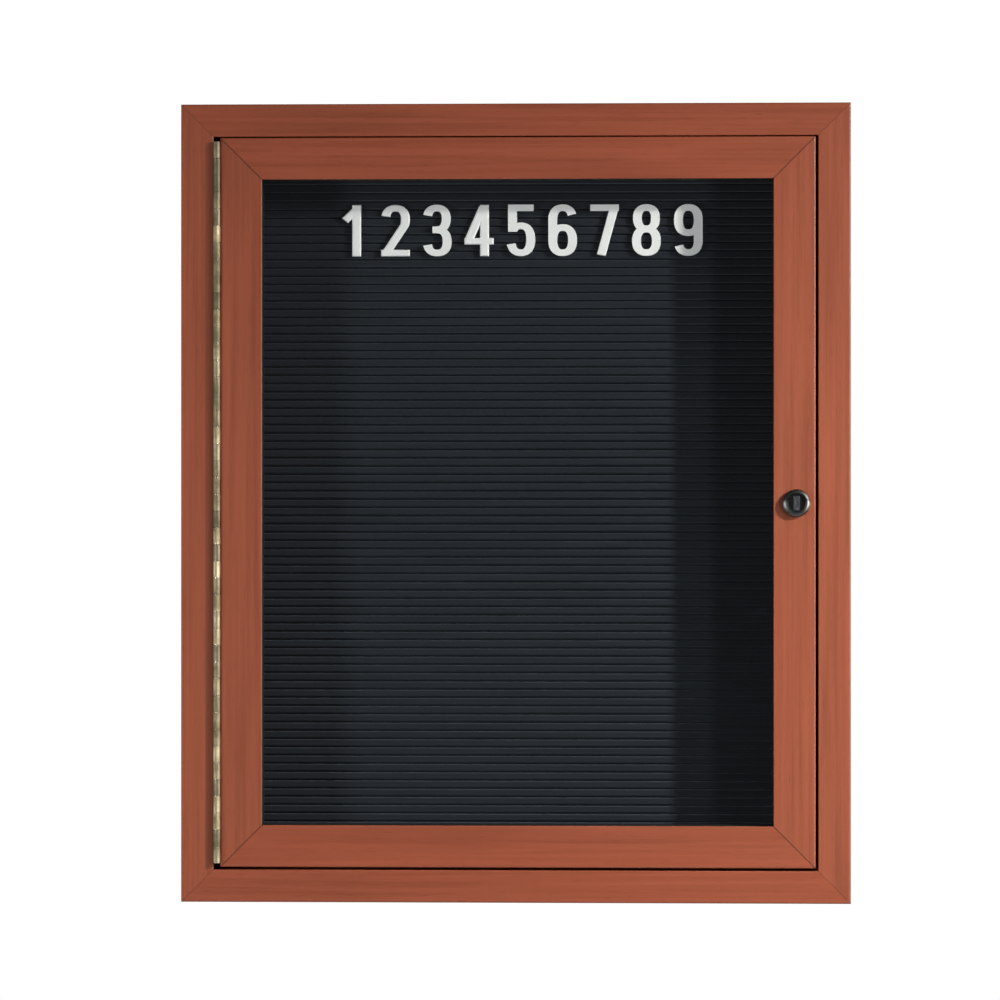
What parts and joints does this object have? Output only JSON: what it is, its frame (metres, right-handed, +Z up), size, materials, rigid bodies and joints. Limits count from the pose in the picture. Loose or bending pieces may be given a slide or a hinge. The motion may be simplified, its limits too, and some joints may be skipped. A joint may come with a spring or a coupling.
{
  "type": "enclosed directory board",
  "caption": "Wall-mounted enclosed letter board: wood-look mitred frame, hinged and lockable glazed door on a continuous hinge, grooved dark letter panel.",
  "frame": {"origin": "centre of the cabinet's back, in the plane of the wall", "axes": "+X to the right as seen from the front, +Y into the wall, +Z up"},
  "size_m": [0.508, 0.0618, 0.606],
  "materials": {
    "frame_finish": "satin cherry wood-grain film on aluminium",
    "door_finish": "satin cherry wood-grain film on aluminium",
    "key_steel": "zinc-plated steel",
    "screw_steel": "zinc-plated steel",
    "black_steel": "black oxide",
    "back_board": "hardboard",
    "letter_felt": "black flocked felt on a grooved core",
    "seal_pile": "woven pile",
    "hinge_metal": "brushed nickel-brass",
    "hinge_pin_metal": "bright steel wire",
    "glass": "clear pane",
    "gasket_vinyl": "black vinyl",
    "lock_chrome": "bright chrome",
    "plug_black": "black",
    "shutter_steel": "worn steel"
  },
  "bodies": {
    "cabinet": {"frame_top": "frame_finish", "frame_bottom": "frame_finish", "frame_left": "frame_finish", "frame_right": "frame_finish", "frame_corner_keys": "key_steel", "frame_key_screws": "black_steel", "back_panel": "back_board", "back_panel_screws": "screw_steel", "letter_panel": "letter_felt", "door_seal": "seal_pile", "hinge_fixed_leaf": "hinge_metal", "hinge_pin": "hinge_pin_metal", "hinge_fixed_screws": "hinge_metal"},
    "door": {"door_top": "door_finish", "door_bottom": "door_finish", "door_left": "door_finish", "door_right": "door_finish", "door_corner_keys": "key_steel", "door_key_screws": "screw_steel", "glass_pane": "glass", "glazing_gasket": "gasket_vinyl", "hinge_door_leaf": "hinge_metal", "hinge_door_screws": "hinge_metal", "lock_housing": "lock_chrome", "lock_nut": "screw_steel"},
    "lock": {"lock_plug": "plug_black", "lock_shutter": "shutter_steel", "lock_cam": "key_steel", "lock_cam_screw": "screw_steel"}
  },
  "joints": [
    {"name": "door_swing", "type": "hinge", "parent": "cabinet", "child": "door", "pos_m": [-0.2267, -0.0576, 0], "axis": [0, 0, -1], "range_deg": [0, 180]},
    {"name": "lock_turn", "type": "hinge", "parent": "door", "child": "lock", "pos_m": [0.2129, -0.0576, 0], "axis": [0, -1, 0], "range_deg": [0, 90]}
  ]
}
